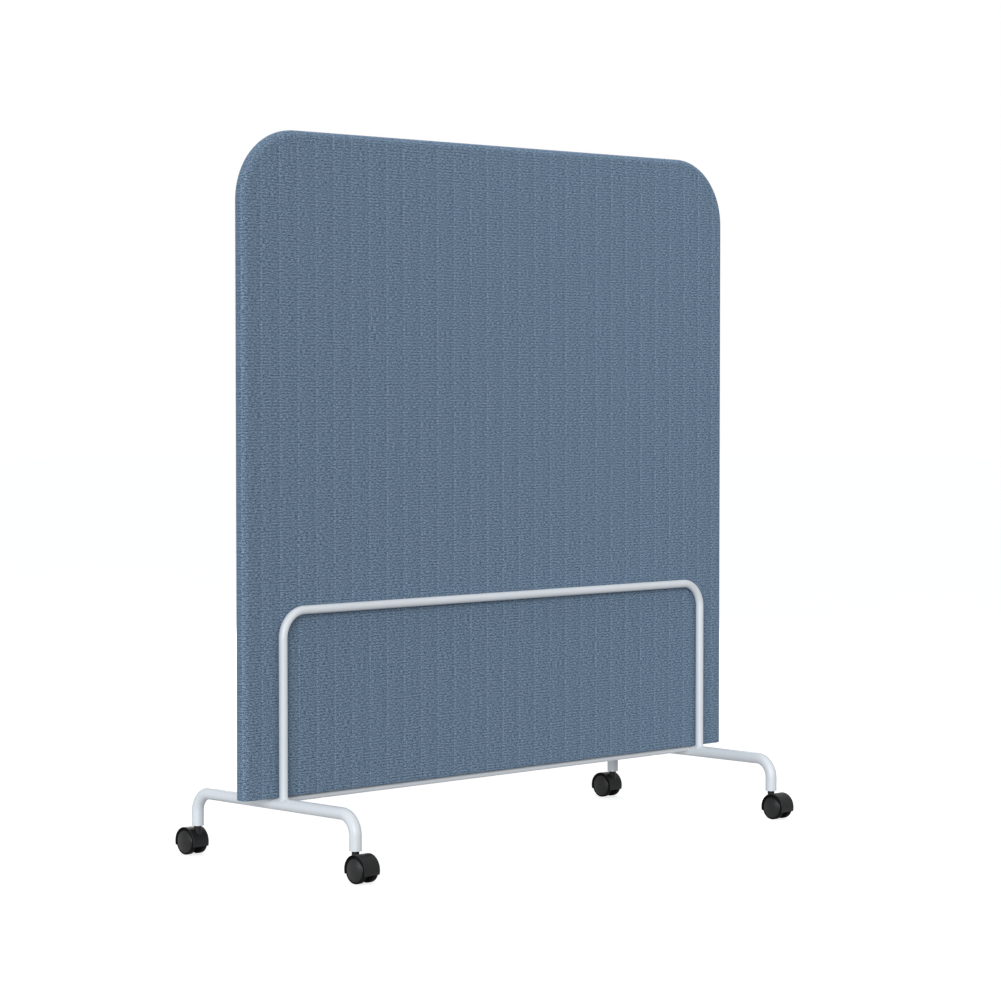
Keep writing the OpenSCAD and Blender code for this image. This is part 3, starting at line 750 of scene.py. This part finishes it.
def moulded_nylon(name, colour, shine, roughness, spark_scale, spark_depth, dust_amount):
    """Black nylon with dust on what faces up, handled patches and a sparked skin."""
    finish, tree, shader = start_finish(name)
    place = add(tree, "TexCoord").outputs["Object"]
    normal = add(tree, "NewGeometry").outputs["Normal"]
    facing_up = add(tree, "SeparateXYZ", {0: normal}).outputs[2]
    dust_feeds = {0: facing_up, 1: DUST_FROM, 2: 1.0, 3: 0.0, 4: dust_amount}
    settled = add(tree, "MapRange", dust_feeds).outputs[0]
    speckle = grain(tree, place, DUST_GRAIN, detail=5.0, roughness=0.7)
    dust = calc(tree, "MULTIPLY", settled, speckle)
    tint = add(tree, "Mix", {0: dust, 6: (*colour, 1), 7: (*GREY_DUST, 1)}, data_type="RGBA")
    tree.links.new(tint.outputs[2], shader.inputs["Base Color"])
    handled = grain(tree, place, HANDLED_GRAIN, detail=4.0, roughness=0.6)
    tree.links.new(spread(tree, handled, roughness, roughness + DULLED_BY),
                   shader.inputs["Roughness"])
    shader.inputs["Specular IOR Level"].default_value = shine
    sparks = grain(tree, place, spark_scale, roughness=0.6)
    press_in(tree, sparks, spark_depth, strength=0.3, shader=shader)
    return finish


print("dust settles on what faces up by more than", DUST_FROM)

# %% The four nylons
nylons = [
    moulded_nylon("hood_nylon", (0.0085, 0.0088, 0.0094), shine=0.17, roughness=0.42,
                  spark_scale=1300.0, spark_depth=0.00006, dust_amount=0.10),
    moulded_nylon("wheel_nylon", (0.0045, 0.0045, 0.0050), shine=0.05, roughness=0.60,
                  spark_scale=700.0, spark_depth=0.00012, dust_amount=0.16),
    moulded_nylon("disc_nylon", (0.0050, 0.0050, 0.0055), shine=0.24, roughness=0.24,
                  spark_scale=1500.0, spark_depth=0.00003, dust_amount=0.04),
    moulded_nylon("socket_nylon", (0.020, 0.020, 0.023), shine=0.20, roughness=0.50,
                  spark_scale=1100.0, spark_depth=0.00005, dust_amount=0.05),
]
print(len(nylons), "nylons ready")

# %% [markdown]
# ## Hidden and half-hidden finishes
# Zinc-plated steel, brass, rubber, timber, felt, foam and wool lie inside the
# screen or under it. They are seen when a part is lifted off, so each has the
# grain that tells it from the others: one grain drives its colour, its gloss and
# its bump. Timber and wool have theirs drawn out, along the fibres or in layers.

# %% One grain for colour, gloss and bump
ROUGHNESS_SWING = 0.06


def plain_grain(name, dark, pale, scale, roughness, depth, metallic=0.0, stretch=None):
    """A finish of one grain, as deep as the given depth in metres."""
    finish, tree, shader = start_finish(name)
    place = add(tree, "TexCoord").outputs["Object"]
    pattern = grain(tree, place, scale, detail=4.0, roughness=0.6, stretch=stretch)
    smoothest, dullest = roughness - ROUGHNESS_SWING, roughness + ROUGHNESS_SWING
    tree.links.new(two_tones(tree, pattern, dark, pale), shader.inputs["Base Color"])
    tree.links.new(spread(tree, pattern, smoothest, dullest), shader.inputs["Roughness"])
    shader.inputs["Metallic"].default_value = metallic
    press_in(tree, pattern, depth, strength=0.5, shader=shader)
    return finish


print("roughness varies by", ROUGHNESS_SWING)

# %% Metal, rubber, felt, timber, foam and wool
zinc_steel = plain_grain("zinc_steel", (0.44, 0.45, 0.48), (0.58, 0.59, 0.61),
                         scale=240.0, roughness=0.38, depth=0.00002, metallic=1.0)
insert_brass = plain_grain("insert_brass", (0.44, 0.30, 0.10), (0.56, 0.41, 0.15),
                           scale=300.0, roughness=0.36, depth=0.00002, metallic=1.0)
buffer_rubber = plain_grain("buffer_rubber", (0.055, 0.060, 0.065), (0.085, 0.090, 0.095),
                            scale=420.0, roughness=0.72, depth=0.0001)
closing_felt = plain_grain("closing_felt", (0.022, 0.025, 0.029), (0.052, 0.056, 0.060),
                           scale=900.0, roughness=0.95, depth=0.0003)
timber = plain_grain("timber", (0.44, 0.27, 0.12), (0.66, 0.47, 0.25),
                     scale=9.0, roughness=0.70, depth=0.0002, stretch=(12.0, 12.0, 1.0))
foam = plain_grain("foam", (0.22, 0.23, 0.24), (0.34, 0.35, 0.36),
                   scale=800.0, roughness=0.95, depth=0.0004)
core_wool = plain_grain("core_wool", (0.38, 0.33, 0.17), (0.56, 0.51, 0.32),
                        scale=90.0, roughness=0.95, depth=0.0006, stretch=(1.0, 1.0, 9.0))
hidden = [zinc_steel, insert_brass, buffer_rubber, closing_felt, timber, foam, core_wool]
print(len(hidden), "more finishes ready")

# %% [markdown]
# ## Dressing the CAD parts
# The frame's record names the finish of every solid. The materials could be set
# one by one, but a loop over the record misses none of them.

# %% Give every CAD node its finish
finishes = {finish.name: finish for finish in (cloth, coat, *nylons, *hidden)}
for part in frame["record"]["subparts"]:
    frame["nodes"][part["node"]].data.materials[0] = finishes[part["material_slot"]]
closing_strip.data.materials.append(closing_felt)
strip_staples.data.materials.append(zinc_steel)

# %% [markdown]
# ## Floor and studio
# The photograph is cut out on white. More lamp light would whiten the floor, but
# it would bleach the screen as well. So the floor is a plain grey to the light
# that bounces off it, but to the camera and to reflections it glows almost white
# by itself, with a last share that only the lamps can give. It is white and
# still keeps the screen's soft shadow.

# %% Floor
FLOOR_REACH = 30
FLOOR_BOUNCE, FLOOR_GLOW, FLOOR_LIT = 0.28, 0.69, 0.60
WHITE = (1, 1, 1, 1)


def seen_directly(tree):
    """1 where the camera, a gloss or a glass looks, and 0 where light bounces."""
    ray = add(tree, "LightPath").outputs
    looks = calc(tree, "MAXIMUM", ray["Is Camera Ray"], ray["Is Glossy Ray"])
    return calc(tree, "MAXIMUM", looks, ray["Is Transmission Ray"])


corners = [(x * FLOOR_REACH, y * FLOOR_REACH, 0) for x, y in ((-1, -1), (1, -1), (1, 1), (-1, 1))]
floor_mesh = bpy.data.meshes.new("studio_floor")
floor_mesh.from_pydata(corners, [], [(0, 1, 2, 3)])
floor = put_in_scene(bpy.data.objects.new("studio_floor", floor_mesh))
white, tree, shader = start_finish("studio_white")
tree.nodes.remove(shader)
for_light = add(tree, "BsdfDiffuse", {"Color": (*grey(FLOOR_BOUNCE), 1)}).outputs[0]
glow = add(tree, "Emission", {"Color": WHITE, "Strength": FLOOR_GLOW}).outputs[0]
lit_share = add(tree, "BsdfDiffuse", {"Color": (*grey(FLOOR_LIT), 1)}).outputs[0]
for_eye = add(tree, "AddShader", {0: glow, 1: lit_share}).outputs[0]
both = add(tree, "MixShader", {0: seen_directly(tree), 1: for_light, 2: for_eye}).outputs[0]
tree.links.new(both, tree.nodes["Material Output"].inputs["Surface"])
floor_mesh.materials.append(white)
print("floor", 2 * FLOOR_REACH, "m wide")

# %% [markdown]
# ## The sky around the studio
# A real studio's walls throw light back from all sides. Walls could be built, but
# the world's background does it without them: weak and slightly blue to bounced
# light, and plain white wherever the camera or a gloss looks past the floor.

# %% Sky
SKY_LIGHT = 0.32
sky = bpy.data.worlds.new("studio_sky")
bpy.context.scene.world = sky
sky.use_nodes = True
tree = sky.node_tree
soft_sky = add(tree, "Background", {"Color": (0.97, 0.985, 1.0, 1), "Strength": SKY_LIGHT})
white_sky = add(tree, "Background", {"Color": WHITE, "Strength": 1.0})
skies = {0: seen_directly(tree), 1: soft_sky.outputs[0], 2: white_sky.outputs[0]}
both = add(tree, "MixShader", skies).outputs[0]
tree.links.new(both, tree.nodes["World Output"].inputs["Surface"])
print("sky gives", SKY_LIGHT)

# %% [markdown]
# ## Lamps
# The main light in the photograph comes from the front left, a little further
# round than the viewer, and it is even over the whole board. An area lamp fades
# with distance, so a sun lamp with a wide angle does this: its light is the same
# everywhere and its shadows are soft. A big soft lamp overhead brightens the
# rounded tops, and a weak one from the front right opens the shadows. A small,
# low one far round to the left lights the board's left edge and leaves a pale
# crescent on each wheel's disc. One more behind the screen lights the back,
# which the photograph doesn't show. Together they show a colour about as written.

# %% Lamps
MIDDLE = (0, 0, 0.8)
DAYLIGHT, WARM, COOL = (0.95, 0.975, 1.0), (1.0, 0.985, 0.965), (0.92, 0.965, 1.0)
SUN_STRENGTH, SUN_ANGLE = 2.48, math.radians(30)
SOFT_LAMPS = (  # name, place, width in metres, power in watts, colour
    ("overhead_lamp", (0.0, -0.6, 4.6), 3.2, 38, WARM),
    ("front_lamp", (1.2, -4.8, 1.8), 2.8, 27, WARM),
    ("left_lamp", (-5.0, 1.7, 0.4), 0.6, 42, COOL),
    ("back_lamp", (3.4, 4.9, 2.3), 3.4, 160, WARM))


def lamp(name, kind, place, power, colour):
    """A lamp of a kind, aimed at the screen's middle."""
    data = bpy.data.lights.new(name, kind)
    data.energy = power
    data.color = colour
    holder = put_in_scene(bpy.data.objects.new(name, data))
    holder.location = place
    holder.rotation_mode = "QUATERNION"
    holder.rotation_quaternion = (Vector(MIDDLE) - Vector(place)).to_track_quat("-Z", "Y")
    return data


main_light = lamp("main_light", "SUN", (-7.6, -6.5, 3.5), SUN_STRENGTH, DAYLIGHT)
main_light.angle = SUN_ANGLE
for name, place, width, power, colour in SOFT_LAMPS:
    soft = lamp(name, "AREA", place, power, colour)
    soft.shape = "DISK"
    soft.size = width
print("main light", SUN_STRENGTH, "and", len(SOFT_LAMPS), "soft lamps")

# %% [markdown]
# ## The last look
# Once every piece is in place, the view layer is updated once more, so each
# object's place is current when the script ends.

# %% Update the scene
bpy.context.view_layer.update()
